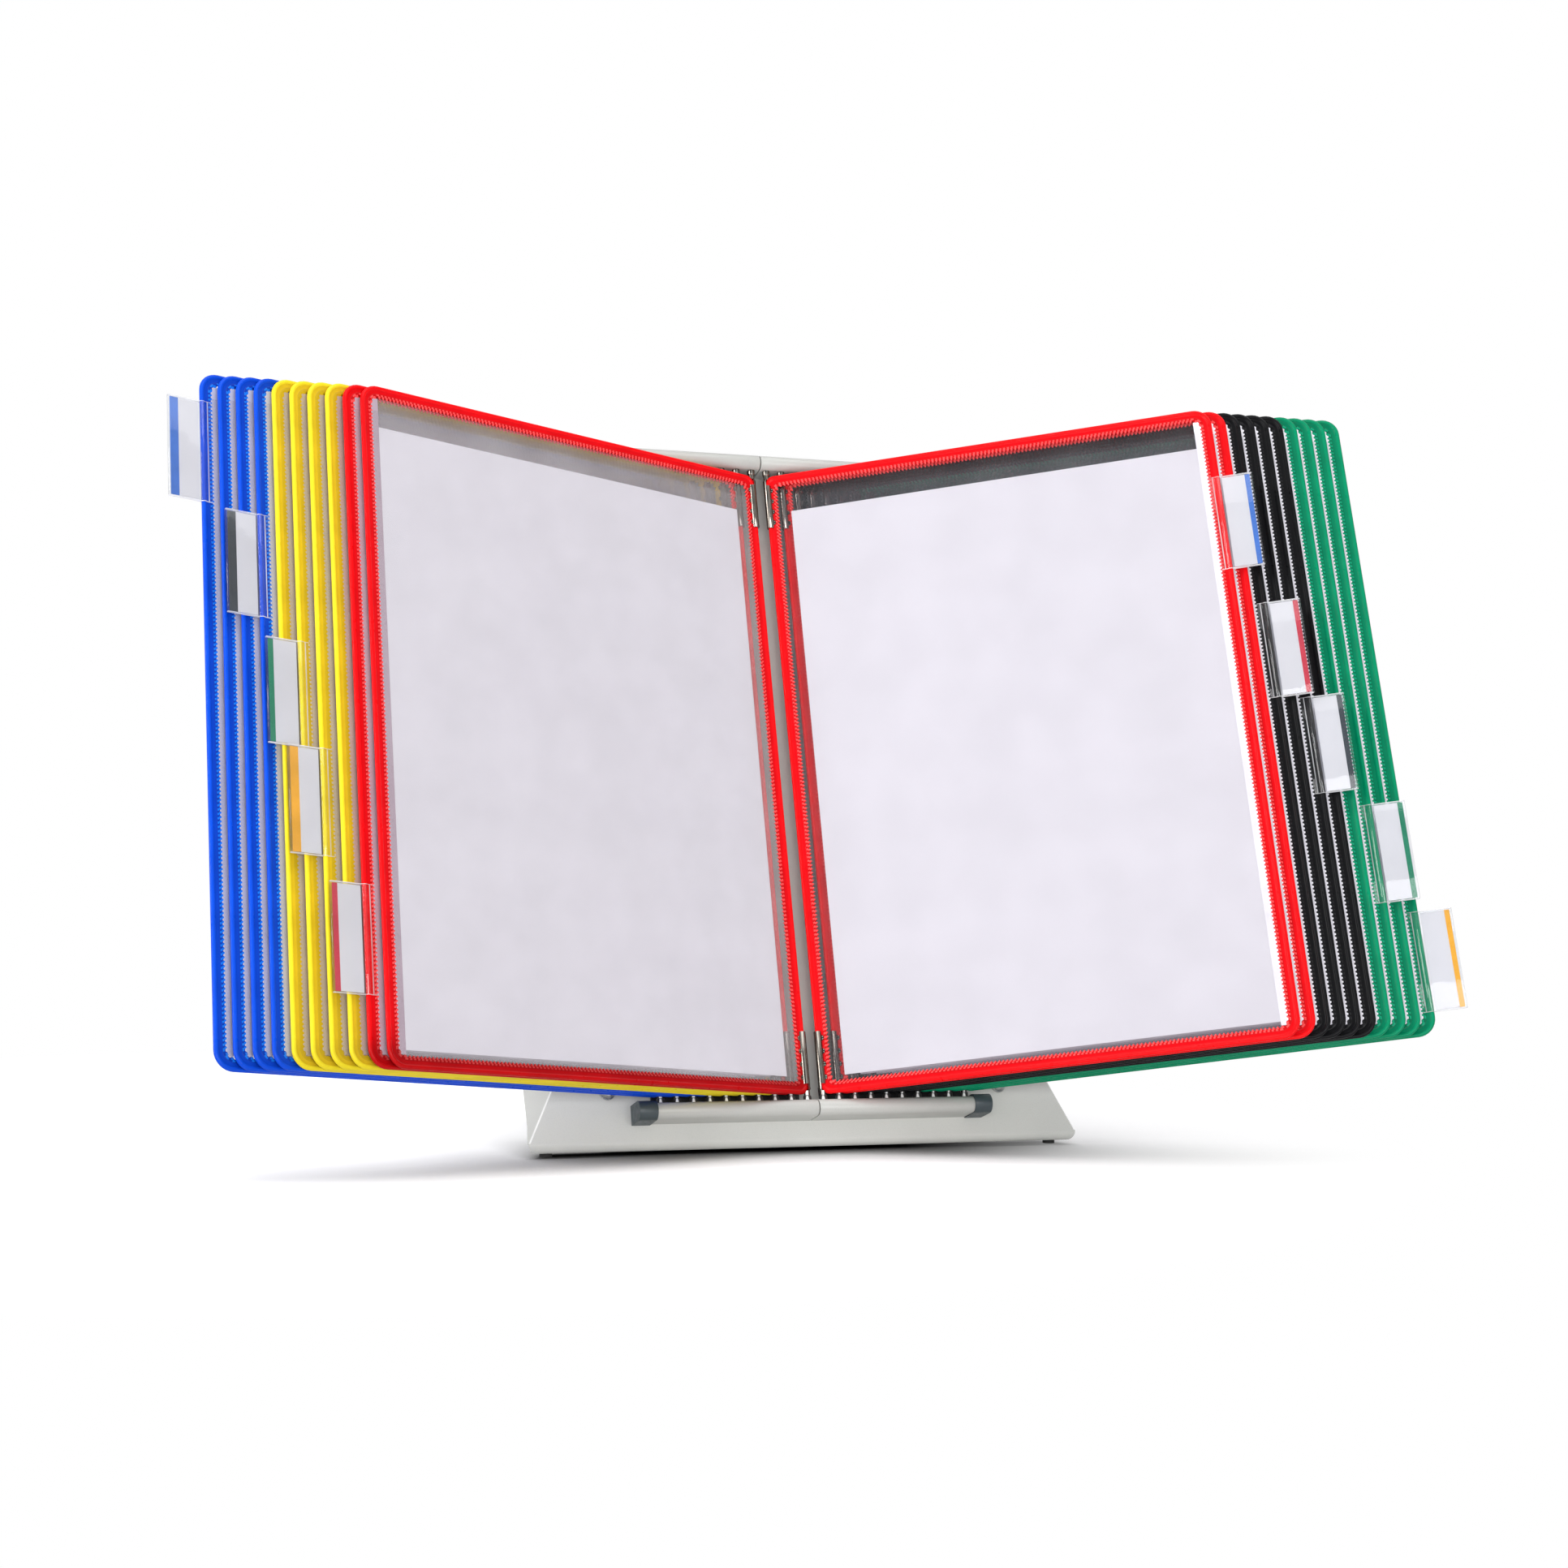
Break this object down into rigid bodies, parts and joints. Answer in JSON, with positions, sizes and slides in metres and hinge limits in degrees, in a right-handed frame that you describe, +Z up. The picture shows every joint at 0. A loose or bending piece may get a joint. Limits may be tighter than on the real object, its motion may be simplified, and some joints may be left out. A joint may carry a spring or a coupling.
{
  "type": "desktop reference display rack",
  "caption": "Leaning steel desk stand whose two half-round bars hold clear document pockets with coloured borders that turn on pins like book pages, with sliding index tabs.",
  "frame": {"origin": "bottom centre of the bounding box at rest, on the table under the feet", "axes": "+X to the right across the bars as the reader sees them, +Y away from the reader, +Z up; the display leans back 17.5 degrees towards +Y"},
  "size_m": [0.6042, 0.2738, 0.3715],
  "materials": {
    "painted_steel": "satin",
    "cap_plastic": "matte",
    "foot_rubber": "matte",
    "zinc": "satin",
    "nickel": "polished",
    "border_blue": "gloss",
    "border_yellow": "gloss",
    "border_red": "gloss",
    "border_black": "gloss",
    "border_green": "gloss",
    "tab_clear": "gloss"
  },
  "bodies": {
    "stand": {"base_panel": "painted_steel", "base_foot": "painted_steel", "bracket_left": "painted_steel", "bracket_right": "painted_steel", "end_caps": "cap_plastic", "feet": "foot_rubber", "panel_screws": "zinc", "washers": "zinc", "bracket_screws": "zinc", "nuts": "zinc"},
    "pocket_body_01": {"pocket_01": "border_blue", "pivots_01": "nickel"},
    "pocket_body_02": {"pocket_02": "border_blue", "pivots_02": "nickel"},
    "pocket_body_03": {"pocket_03": "border_blue", "pivots_03": "nickel"},
    "pocket_body_04": {"pocket_04": "border_blue", "pivots_04": "nickel"},
    "pocket_body_05": {"pocket_05": "border_yellow", "pivots_05": "nickel"},
    "pocket_body_06": {"pocket_06": "border_yellow", "pivots_06": "nickel"},
    "pocket_body_07": {"pocket_07": "border_yellow", "pivots_07": "nickel"},
    "pocket_body_08": {"pocket_08": "border_yellow", "pivots_08": "nickel"},
    "pocket_body_09": {"pocket_09": "border_red", "pivots_09": "nickel"},
    "pocket_body_10": {"pocket_10": "border_red", "pivots_10": "nickel"},
    "pocket_body_11": {"pocket_11": "border_red", "pivots_11": "nickel"},
    "pocket_body_12": {"pocket_12": "border_red", "pivots_12": "nickel"},
    "pocket_body_13": {"pocket_13": "border_black", "pivots_13": "nickel"},
    "pocket_body_14": {"pocket_14": "border_black", "pivots_14": "nickel"},
    "pocket_body_15": {"pocket_15": "border_black", "pivots_15": "nickel"},
    "pocket_body_16": {"pocket_16": "border_black", "pivots_16": "nickel"},
    "pocket_body_17": {"pocket_17": "border_green", "pivots_17": "nickel"},
    "pocket_body_18": {"pocket_18": "border_green", "pivots_18": "nickel"},
    "pocket_body_19": {"pocket_19": "border_green", "pivots_19": "nickel"},
    "pocket_body_20": {"pocket_20": "border_green", "pivots_20": "nickel"},
    "tab_body_01": {"tab_01": "tab_clear"},
    "tab_body_04": {"tab_04": "tab_clear"},
    "tab_body_06": {"tab_06": "tab_clear"},
    "tab_body_07": {"tab_07": "tab_clear"},
    "tab_body_09": {"tab_09": "tab_clear"},
    "tab_body_11": {"tab_11": "tab_clear"},
    "tab_body_13": {"tab_13": "tab_clear"},
    "tab_body_15": {"tab_15": "tab_clear"},
    "tab_body_18": {"tab_18": "tab_clear"},
    "tab_body_20": {"tab_20": "tab_clear"}
  },
  "joints": [
    {"name": "turn_01", "type": "hinge", "parent": "stand", "child": "pocket_body_01", "pos_m": [-0.0689, -0.027, 0.0253], "axis": [0, 0.3007, 0.9537], "range_deg": [0, 128]},
    {"name": "turn_02", "type": "hinge", "parent": "stand", "child": "pocket_body_02", "pos_m": [-0.0607, -0.027, 0.0253], "axis": [0, 0.3007, 0.9537], "range_deg": [0, 128]},
    {"name": "turn_03", "type": "hinge", "parent": "stand", "child": "pocket_body_03", "pos_m": [-0.0525, -0.027, 0.0253], "axis": [0, 0.3007, 0.9537], "range_deg": [0, 128]},
    {"name": "turn_04", "type": "hinge", "parent": "stand", "child": "pocket_body_04", "pos_m": [-0.0443, -0.027, 0.0253], "axis": [0, 0.3007, 0.9537], "range_deg": [0, 128]},
    {"name": "turn_05", "type": "hinge", "parent": "stand", "child": "pocket_body_05", "pos_m": [-0.0361, -0.027, 0.0253], "axis": [0, 0.3007, 0.9537], "range_deg": [0, 128]},
    {"name": "turn_06", "type": "hinge", "parent": "stand", "child": "pocket_body_06", "pos_m": [-0.0279, -0.027, 0.0253], "axis": [0, 0.3007, 0.9537], "range_deg": [0, 128]},
    {"name": "turn_07", "type": "hinge", "parent": "stand", "child": "pocket_body_07", "pos_m": [-0.0197, -0.027, 0.0253], "axis": [0, 0.3007, 0.9537], "range_deg": [0, 128]},
    {"name": "turn_08", "type": "hinge", "parent": "stand", "child": "pocket_body_08", "pos_m": [-0.0115, -0.027, 0.0253], "axis": [0, 0.3007, 0.9537], "range_deg": [0, 128]},
    {"name": "turn_09", "type": "hinge", "parent": "stand", "child": "pocket_body_09", "pos_m": [-0.0033, -0.027, 0.0253], "axis": [0, 0.3007, 0.9537], "range_deg": [0, 128]},
    {"name": "turn_10", "type": "hinge", "parent": "stand", "child": "pocket_body_10", "pos_m": [0.0049, -0.027, 0.0253], "axis": [0, 0.3007, 0.9537], "range_deg": [0, 128]},
    {"name": "turn_11", "type": "hinge", "parent": "stand", "child": "pocket_body_11", "pos_m": [0.0131, -0.027, 0.0253], "axis": [0, 0.3007, 0.9537], "range_deg": [-128, 0]},
    {"name": "turn_12", "type": "hinge", "parent": "stand", "child": "pocket_body_12", "pos_m": [0.0213, -0.027, 0.0253], "axis": [0, 0.3007, 0.9537], "range_deg": [-128, 0]},
    {"name": "turn_13", "type": "hinge", "parent": "stand", "child": "pocket_body_13", "pos_m": [0.0295, -0.027, 0.0253], "axis": [0, 0.3007, 0.9537], "range_deg": [-128, 0]},
    {"name": "turn_14", "type": "hinge", "parent": "stand", "child": "pocket_body_14", "pos_m": [0.0377, -0.027, 0.0253], "axis": [0, 0.3007, 0.9537], "range_deg": [-128, 0]},
    {"name": "turn_15", "type": "hinge", "parent": "stand", "child": "pocket_body_15", "pos_m": [0.0459, -0.027, 0.0253], "axis": [0, 0.3007, 0.9537], "range_deg": [-128, 0]},
    {"name": "turn_16", "type": "hinge", "parent": "stand", "child": "pocket_body_16", "pos_m": [0.0541, -0.027, 0.0253], "axis": [0, 0.3007, 0.9537], "range_deg": [-128, 0]},
    {"name": "turn_17", "type": "hinge", "parent": "stand", "child": "pocket_body_17", "pos_m": [0.0623, -0.027, 0.0253], "axis": [0, 0.3007, 0.9537], "range_deg": [-128, 0]},
    {"name": "turn_18", "type": "hinge", "parent": "stand", "child": "pocket_body_18", "pos_m": [0.0705, -0.027, 0.0253], "axis": [0, 0.3007, 0.9537], "range_deg": [-128, 0]},
    {"name": "turn_19", "type": "hinge", "parent": "stand", "child": "pocket_body_19", "pos_m": [0.0787, -0.027, 0.0253], "axis": [0, 0.3007, 0.9537], "range_deg": [-128, 0]},
    {"name": "turn_20", "type": "hinge", "parent": "stand", "child": "pocket_body_20", "pos_m": [0.0869, -0.027, 0.0253], "axis": [0, 0.3007, 0.9537], "range_deg": [-128, 0]},
    {"name": "slide_tab_01", "type": "slide", "parent": "pocket_body_01", "child": "tab_body_01", "axis": [0, 0.3007, 0.9537], "range_m": [-0.2523, 0.006]},
    {"name": "slide_tab_04", "type": "slide", "parent": "pocket_body_04", "child": "tab_body_04", "axis": [0, 0.3007, 0.9537], "range_m": [-0.1973, 0.061]},
    {"name": "slide_tab_06", "type": "slide", "parent": "pocket_body_06", "child": "tab_body_06", "axis": [0, 0.3007, 0.9537], "range_m": [-0.1363, 0.122]},
    {"name": "slide_tab_07", "type": "slide", "parent": "pocket_body_07", "child": "tab_body_07", "axis": [0, 0.3007, 0.9537], "range_m": [-0.0858, 0.1725]},
    {"name": "slide_tab_09", "type": "slide", "parent": "pocket_body_09", "child": "tab_body_09", "axis": [0, 0.3007, 0.9537], "range_m": [-0.0233, 0.235]},
    {"name": "slide_tab_11", "type": "slide", "parent": "pocket_body_11", "child": "tab_body_11", "axis": [0, 0.3007, 0.9537], "range_m": [-0.2293, 0.029]},
    {"name": "slide_tab_13", "type": "slide", "parent": "pocket_body_13", "child": "tab_body_13", "axis": [0, 0.3007, 0.9537], "range_m": [-0.1618, 0.0965]},
    {"name": "slide_tab_15", "type": "slide", "parent": "pocket_body_15", "child": "tab_body_15", "axis": [0, 0.3007, 0.9537], "range_m": [-0.1123, 0.146]},
    {"name": "slide_tab_18", "type": "slide", "parent": "pocket_body_18", "child": "tab_body_18", "axis": [0, 0.3007, 0.9537], "range_m": [-0.0568, 0.2015]},
    {"name": "slide_tab_20", "type": "slide", "parent": "pocket_body_20", "child": "tab_body_20", "axis": [0, 0.3007, 0.9537], "range_m": [-0.0023, 0.256]}
  ],
  "couplings": [
    {"joint": "turn_01", "follows": "turn_10", "ratio": 1},
    {"joint": "turn_02", "follows": "turn_10", "ratio": 1},
    {"joint": "turn_03", "follows": "turn_10", "ratio": 1},
    {"joint": "turn_04", "follows": "turn_10", "ratio": 1},
    {"joint": "turn_05", "follows": "turn_10", "ratio": 1},
    {"joint": "turn_06", "follows": "turn_10", "ratio": 1},
    {"joint": "turn_07", "follows": "turn_10", "ratio": 1},
    {"joint": "turn_08", "follows": "turn_10", "ratio": 1},
    {"joint": "turn_09", "follows": "turn_10", "ratio": 1},
    {"joint": "turn_12", "follows": "turn_11", "ratio": 1},
    {"joint": "turn_13", "follows": "turn_11", "ratio": 1},
    {"joint": "turn_14", "follows": "turn_11", "ratio": 1},
    {"joint": "turn_15", "follows": "turn_11", "ratio": 1},
    {"joint": "turn_16", "follows": "turn_11", "ratio": 1},
    {"joint": "turn_17", "follows": "turn_11", "ratio": 1},
    {"joint": "turn_18", "follows": "turn_11", "ratio": 1},
    {"joint": "turn_19", "follows": "turn_11", "ratio": 1},
    {"joint": "turn_20", "follows": "turn_11", "ratio": 1}
  ]
}
